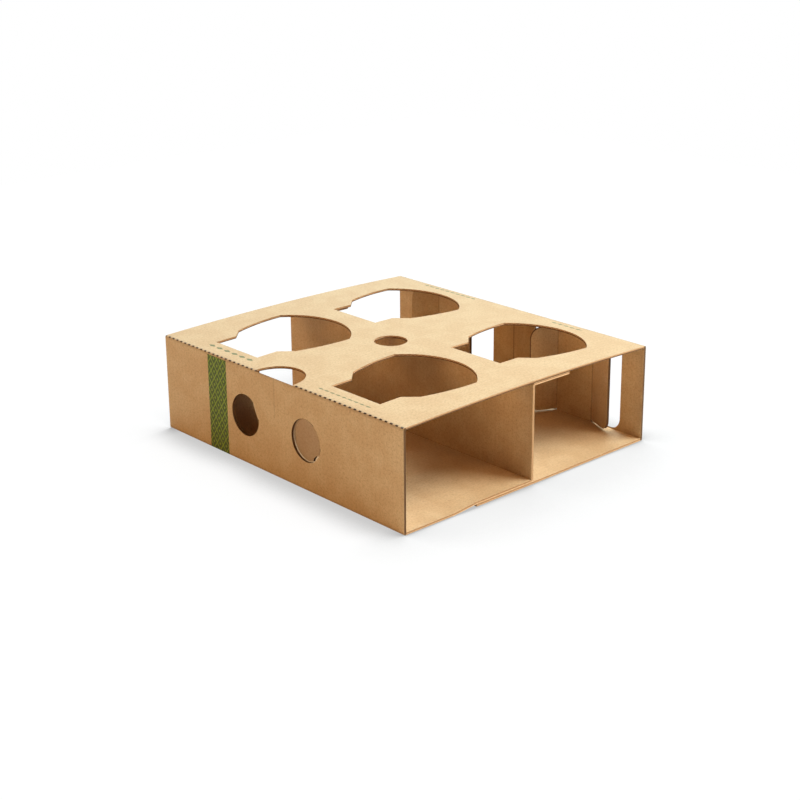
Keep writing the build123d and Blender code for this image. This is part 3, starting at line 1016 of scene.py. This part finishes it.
# %% The print group
BAND_LEFT = -65.2
BAND_RIGHT = -46.7
BAND_REPEAT = (BAND_RIGHT - BAND_LEFT) / 3
BAND_REACH_LOW = 0.8
BAND_REACH_HIGH = 0.2
LATTICE_HEIGHT = 1.35
LOZENGE_COVER = 0.85
EDGE_SOFT = 0.00012
EDGE_WOBBLE = 0.0003
band_low = SPAN["front wall"][0] - BAND_REACH_LOW
band_high = SPAN["front wall"][1] + BAND_REACH_HIGH
printed, tree, given, out = new_group(
    "green_print",
    [("Blank", PLACE, None), ("Paper", COLOUR, None), ("Ground", COLOUR, None),
     ("Line", COLOUR, None), ("Lozenge", COLOUR, None)],
    [("Color", COLOUR)],
)
part = tree.add("ShaderNodeSeparateXYZ", {0: given["Blank"]}).outputs
wobble = tree.noise(given["Blank"], 900.0, 2.0)
wobble = tree.math("MULTIPLY", tree.math("SUBTRACT", wobble, 0.5), EDGE_WOBBLE)
print_x = tree.math("ADD", part[0], wobble)
print_s = tree.math("ADD", part[1], wobble)


def between(value, low, high):
    """Mask that is 1 between two values, with a soft edge: a rising step times a falling step."""
    rising = tree.ramp(value, low - EDGE_SOFT, low + EDGE_SOFT)
    falling = tree.ramp(value, high + EDGE_SOFT, high - EDGE_SOFT)
    return tree.math("MULTIPLY", rising, falling)


in_band = tree.math("MULTIPLY", between(print_x, BAND_LEFT * MM, BAND_RIGHT * MM),
                    between(print_s, band_low * MM, band_high * MM))
outside_face = tree.ramp(part[2], 0.0, 0.0005)
in_band = tree.math("MULTIPLY", in_band, outside_face)
repeat = BAND_REPEAT * MM
across = tree.math("DIVIDE", tree.math("SUBTRACT", print_x, BAND_LEFT * MM), repeat)
up = tree.math("DIVIDE", print_s, repeat * LATTICE_HEIGHT)
slant_a = tree.math("PINGPONG", tree.math("ADD", across, up), 0.5)
slant_b = tree.math("PINGPONG", tree.math("SUBTRACT", across, up), 0.5)
lattice = tree.math("MINIMUM", slant_a, slant_b)
lattice_line = tree.ramp(lattice, 0.085, 0.045)
inner_a = tree.math("ABSOLUTE", tree.math("SUBTRACT", slant_a, 0.5))
inner_b = tree.math("ABSOLUTE", tree.math("SUBTRACT", slant_b, 0.5))
ring = tree.math("SQRT", tree.math("ADD", tree.math("MULTIPLY", inner_a, inner_a),
                                   tree.math("MULTIPLY", inner_b, inner_b)))
dot = tree.ramp(ring, 0.17, 0.13)
pattern = tree.math("MAXIMUM", lattice_line, dot)
fibre = tree.noise(tree.stretched(given["Blank"], 420.0, 1700.0, 1.0), 1.0, 3.0, 0.6)
cover = tree.math("MULTIPLY", in_band, tree.ramp(fibre, 0.30, 0.46, 0.72, 0.97))
ink = tree.blend(pattern, given["Ground"], given["Line"])
colour = tree.blend(cover, given["Paper"], ink)
print("band:", BAND_RIGHT - BAND_LEFT, "mm wide, lattice of", round(BAND_REPEAT, 1), "mm")

# %% Rows of lozenges on the top panel
# Each row: first and last x, place y on the panel, spacing, half length and half width
LOZENGE_ROWS = [
    (-76.0, -31.0, -91.0, 7.5, 3.2, 1.5),
    (31.0, 76.0, -92.5, 5.0, 2.6, 0.7),
    (-81.0, -32.0, 95.5, 5.0, 2.6, 1.0),
    (38.0, 64.0, 94.3, 5.0, 2.6, 1.0),
]
lozenges = None
for first, last, y, spacing, half_long, half_wide in LOZENGE_ROWS:
    along = tree.math("PINGPONG", tree.math("SUBTRACT", print_x, first * MM), spacing * MM / 2)
    along = tree.math("DIVIDE", tree.math("SUBTRACT", spacing * MM / 2, along), half_long * MM)
    off = tree.math("ABSOLUTE", tree.math("SUBTRACT", print_s, float(on_top(y)) * MM))
    shape = tree.ramp(tree.math("ADD", along, tree.math("DIVIDE", off, half_wide * MM)), 1.15, 0.85)
    shape = tree.math("MULTIPLY", shape, between(print_x, first * MM, last * MM))
    lozenges = shape if lozenges is None else tree.math("MAXIMUM", lozenges, shape)
lozenges = tree.math("MULTIPLY", tree.math("MULTIPLY", lozenges, outside_face), LOZENGE_COVER)
colour = tree.blend(lozenges, colour, given["Lozenge"])
tree.feed(colour, out["Color"])
print("rows of lozenges:", len(LOZENGE_ROWS))

# %% [markdown]
# The three finishes
#
# Both liners have the paper, the pressed creases partly as painted shade, and the painted
# shade of the perforation's slots and of the shut disc. The outer liner has the print as
# well, and the inner one is a little darker, as painted shade of the carrier's inside. The
# cut edge shows the core: the wavy sheet is a pale line on brown, a painted shade of the
# hollow flutes, and its height in the board follows a sine of x, because the flutes run
# across the creases. Where the edge lies in shade it fades to a dark brown.


# %% Outer and inner liner
def new_material(name):
    """Material with its helper, its shader node and the blank coordinates."""
    material = bpy.data.materials.new(name)
    material.use_nodes = True
    tree = Tree(material.node_tree)
    shader = material.node_tree.nodes["Principled BSDF"]
    blank = tree.add("ShaderNodeAttribute", attribute_name="blank", attribute_type="GEOMETRY")
    return material, tree, shader, blank.outputs["Vector"]


def use_group(tree, group, values):
    """Node group placed in a material, with its inputs fed; returns its outputs."""
    node = tree.add("ShaderNodeGroup", node_tree=group)
    for key, value in values.items():
        tree.feed(value, node.inputs[key])
    return node.outputs


OUTER_TONES = (linear(213, 174, 126), linear(207, 165, 116), linear(166, 122, 78))
# The inner liner is a little darker: a painted shade of the carrier's inside
INNER_SHADED_TONES = (linear(206, 165, 117), linear(199, 156, 107), linear(160, 115, 72))
# Crushed liner along creases and scores, and painted shade of the bends at the window flaps' hinges
CRUSHED_AND_SHADED = linear(120, 80, 46)
# Painted shade round the slots of the perforation
SLOT_SHADE = linear(66, 42, 24)
# Painted shade of the shut finger disc
DISC_SHADE = linear(128, 82, 52)
INK_GROUND = linear(58, 80, 0)
INK_LINE = linear(132, 152, 20)
INK_LOZENGE = linear(66, 84, 0)
CREASE_HALF_WIDTH = 0.0013
CRUSHED_AND_SHADED_AMOUNT = 0.6
DISC_SHADE_AMOUNT = 0.45


def kraft_base(tree, blank, tones):
    """The kraft paper group in a material, with its three tones from pale to dark."""
    pale, middle, dark = tones
    return use_group(tree, paper, {"Blank": blank, "Pale": pale, "Mid": middle, "Dark": dark})


def liner_material(name, tones, print_on):
    """Kraft liner in three tones: paper, then creases partly as painted shade, the painted shade of the
    slots and of the shut disc, then the print if it has one.
    """
    material, tree, shader, blank = new_material(name)
    base = kraft_base(tree, blank, tones)
    line = use_group(tree, creased, {"Blank": blank, "Half Width": CREASE_HALF_WIDTH})
    crushed_and_shaded = tree.math("MULTIPLY", line["Mask"], CRUSHED_AND_SHADED_AMOUNT)
    colour = tree.blend(crushed_and_shaded, base["Color"], CRUSHED_AND_SHADED)
    colour = tree.blend(line["Slot Shade"], colour, SLOT_SHADE)
    # The shut disc gets a painted shade, as it is pushed in and tilted a little
    disc = use_group(tree, disc_shade_group, {"Blank": blank})["Mask"]
    colour = tree.blend(tree.math("MULTIPLY", disc, DISC_SHADE_AMOUNT), colour, DISC_SHADE)
    if print_on:
        inks = {"Paper": colour, "Ground": INK_GROUND, "Line": INK_LINE, "Lozenge": INK_LOZENGE}
        colour = use_group(tree, printed, {"Blank": blank, **inks})["Color"]
    tree.feed(colour, shader.inputs["Base Color"])
    tree.feed(base["Roughness"], shader.inputs["Roughness"])
    shader.inputs["Specular IOR Level"].default_value = 0.45
    shader.inputs["Sheen Weight"].default_value = 0.8
    shader.inputs["Sheen Roughness"].default_value = 0.35
    shader.inputs["Sheen Tint"].default_value = (1.0, 0.97, 0.92, 1.0)
    bump = tree.add("ShaderNodeBump", {"Strength": 0.35, "Distance": 0.00012, "Height": base["Height"]})
    tree.feed(bump.outputs[0], shader.inputs["Normal"])
    return material


outer_liner = liner_material("outer_liner", OUTER_TONES, True)
inner_liner = liner_material("inner_liner", INNER_SHADED_TONES, False)
print("liners:", outer_liner.name, inner_liner.name)

# %% Cut edge
# The brown between the liners is a painted shade of the hollow flutes; the pale wave is the fluted sheet
# itself
HOLLOW_SHADE_BROWN = linear(176, 128, 88)
WAVE_PALE = linear(222, 178, 138)
EDGE_BROWN = linear(72, 46, 26)
WAVE_SHARE = 0.85
cut_edge, tree, shader, blank = new_material("cut_edge")
base = kraft_base(tree, blank, OUTER_TONES)
part = tree.add("ShaderNodeSeparateXYZ", {0: blank}).outputs
core_half = (HALF - LINER) * MM
wave = tree.math("SINE", tree.math("MULTIPLY", part[0], FULL_TURN / (FLUTE_PITCH * MM)))
wave = tree.math("MULTIPLY", wave, core_half * WAVE_SHARE)
from_wave = tree.math("ABSOLUTE", tree.math("SUBTRACT", part[2], wave))
medium = tree.ramp(from_wave, 0.00022, 0.00010)
in_core = tree.ramp(tree.math("ABSOLUTE", part[2]), core_half + 0.00002, core_half - 0.00004)
core_colour = tree.blend(medium, HOLLOW_SHADE_BROWN, WAVE_PALE)
edge_colour = tree.blend(in_core, base["Color"], core_colour)
shade = tree.add("ShaderNodeAttribute", attribute_name="edge_shade", attribute_type="GEOMETRY")
shade = tree.ramp(shade.outputs["Fac"], 0.25, 0.7, 0.0, 0.92)
edge_colour = tree.blend(shade, edge_colour, EDGE_BROWN)
tree.feed(edge_colour, shader.inputs["Base Color"])
shader.inputs["Roughness"].default_value = 0.9
shader.inputs["Specular IOR Level"].default_value = 0.2
for material in (outer_liner, inner_liner, cut_edge):
    mesh.materials.append(material)
print("finishes:", [material.name for material in mesh.materials])

# %% [markdown]
# Camera
#
# The camera stands where the photograph was taken from: to the right of the front
# wall, at the open end, looking down a little. Its place was worked out from the
# corners of the carrier, as an angle round the object, a height and a distance.

# %% Place the camera
AZIMUTH = math.radians(47.694)
ELEVATION = math.radians(17.246)
ROLL = math.radians(-0.449)
DISTANCE = 0.9530
AIM = (-0.00182, 0.07135)
FOCAL_PIXELS = 1517.4
PICTURE = 800
HORIZON_SHIFT = -0.10
back = Vector((math.sin(AZIMUTH) * math.cos(ELEVATION), -math.cos(AZIMUTH) * math.cos(ELEVATION),
               math.sin(ELEVATION)))
level = Vector((math.cos(AZIMUTH), math.sin(AZIMUTH), 0))
upright = back.cross(level)
right = level * math.cos(ROLL) + upright * math.sin(ROLL)
up = upright * math.cos(ROLL) - level * math.sin(ROLL)
camera_data = bpy.data.cameras.new("camera")
camera = bpy.data.objects.new("camera", camera_data)
bpy.context.scene.collection.objects.link(camera)
camera.matrix_world = Matrix.Translation(back * DISTANCE + right * AIM[0] + up * AIM[1]) @ Matrix(
    (right, up, back)).transposed().to_4x4()
camera_data.sensor_width = 36.0
camera_data.lens = FOCAL_PIXELS * camera_data.sensor_width / PICTURE
camera_data.shift_y = HORIZON_SHIFT
camera_data.clip_start = 0.05
bpy.context.scene.camera = camera
print("camera:", [round(v, 3) for v in camera.location], "lens", round(camera_data.lens, 1), "mm")

# %% [markdown]
# Floor and light
#
# A pale paper floor and four soft lamps, as in a product studio. The floor is drawn
# white for the camera by its own light, which is dimmed where the carrier is close: a
# tight shade all round it and a wider, fainter one off its open ends. For every other
# ray the floor is plain pale paper, so it throws light back up into the carrier. The
# world is white for the camera alone and gives no light.

# %% Floor
FLOOR_SIZE = 1.7
FLOOR_DROP = 0.0002
NEAR_REACH = 0.035
WIDE_REACH = 0.15
bpy.ops.mesh.primitive_plane_add(size=FLOOR_SIZE, location=(0, 0, -FLOOR_DROP))
floor = bpy.context.object
floor.name = "studio_floor"
floor_material = bpy.data.materials.new("studio_paper")
floor_material.use_nodes = True
tree = Tree(floor_material.node_tree)
nodes = floor_material.node_tree.nodes
nodes.remove(nodes["Principled BSDF"])
paper_white = tree.add("ShaderNodeBsdfDiffuse", {"Color": (0.78, 0.78, 0.78, 1.0)})
seen_paper = tree.add("ShaderNodeBsdfDiffuse", {"Color": (0.04, 0.04, 0.04, 1.0)})
near = tree.add("ShaderNodeAmbientOcclusion", {"Distance": NEAR_REACH})
strength = tree.ramp(near.outputs["AO"], 0.5, 0.95, 0.58, 0.97)
# Off the open ends lies a wider and fainter shade
wide = tree.add("ShaderNodeAmbientOcclusion", {"Distance": WIDE_REACH})
floor_place = tree.add("ShaderNodeTexCoord").outputs["Object"]
floor_x = tree.add("ShaderNodeSeparateXYZ", {0: floor_place}).outputs[0]
board_end = LENGTH / 2 * MM
beyond_right = tree.ramp(floor_x, board_end - 0.015, board_end + 0.005)
beyond_left = tree.ramp(floor_x, 0.015 - board_end, -0.005 - board_end)
right_shade = tree.ramp(wide.outputs["AO"], 0.93, 0.72, 0.0, 0.13)
right_shade = tree.math("MULTIPLY", right_shade, beyond_right)
left_shade = tree.ramp(wide.outputs["AO"], 0.85, 0.60, 0.0, 0.22)
left_shade = tree.math("MULTIPLY", left_shade, beyond_left)
end_shade = tree.math("MAXIMUM", right_shade, left_shade)
strength = tree.math("SUBTRACT", strength, end_shade)
glow = tree.add("ShaderNodeEmission", {"Color": (1.0, 1.0, 1.0, 1.0), "Strength": strength})
seen = tree.add("ShaderNodeAddShader", {0: seen_paper.outputs[0], 1: glow.outputs[0]})
light_path = tree.add("ShaderNodeLightPath")
to_camera = light_path.outputs["Is Camera Ray"]
mixed = tree.add("ShaderNodeMixShader", {0: to_camera, 1: paper_white.outputs[0], 2: seen.outputs[0]})
tree.feed(mixed.outputs[0], nodes["Material Output"].inputs["Surface"])
floor.data.materials.append(floor_material)

# %% World and lamps
world = bpy.data.worlds.new("studio")
bpy.context.scene.world = world
world.use_nodes = True
tree = Tree(world.node_tree)
surround = world.node_tree.nodes["Background"]
white = tree.add("ShaderNodeBackground", {"Color": (1.0, 1.0, 1.0, 1.0), "Strength": 1.0})
surround.inputs["Color"].default_value = (1.0, 1.0, 1.0, 1.0)
surround.inputs["Strength"].default_value = 0.0
light_path = tree.add("ShaderNodeLightPath")
to_camera = light_path.outputs["Is Camera Ray"]
mixed = tree.add("ShaderNodeMixShader", {0: to_camera, 1: surround.outputs[0], 2: white.outputs[0]})
tree.feed(mixed.outputs[0], world.node_tree.nodes["World Output"].inputs["Surface"])


LAMP_DISTANCE = 1.6
LAMP_SIZE = 1.0
LAMP_AIM = (0, 0, 0.03)


def soft_lamp(name, place, aim, size, watts, colour):
    """Square area lamp at place, turned towards aim."""
    data = bpy.data.lights.new(name, "AREA")
    data.size = size
    data.energy = watts
    data.color = colour
    lamp = bpy.data.objects.new(name, data)
    bpy.context.scene.collection.objects.link(lamp)
    lamp.location = place
    lamp.rotation_euler = (Vector(aim) - Vector(place)).to_track_quat("-Z", "Y").to_euler()
    return lamp


def studio_lamp(name, bearing, height, watts, colour):
    """Lamp on a sphere round the carrier: bearing from +X towards +Y and height, both in degrees."""
    bearing, height = math.radians(bearing), math.radians(height)
    level_way = Vector((math.cos(bearing), math.sin(bearing), 0))
    place = LAMP_DISTANCE * (level_way * math.cos(height) + Vector((0, 0, math.sin(height))))
    return soft_lamp(name, place, LAMP_AIM, LAMP_SIZE, watts, colour)


studio_lamp("key_lamp", 45, 45, 38.8, (0.82, 0.97, 1.0))
studio_lamp("sky_lamp", 135, 45, 24.0, (0.56, 0.80, 0.92))
studio_lamp("side_lamp", 0, 50, 8.6, (1.0, 0.68, 0.40))
studio_lamp("front_lamp", -115, 15, 11.5, (1.0, 0.71, 0.41))
scene = bpy.context.scene
scene.view_settings.view_transform = "Standard"
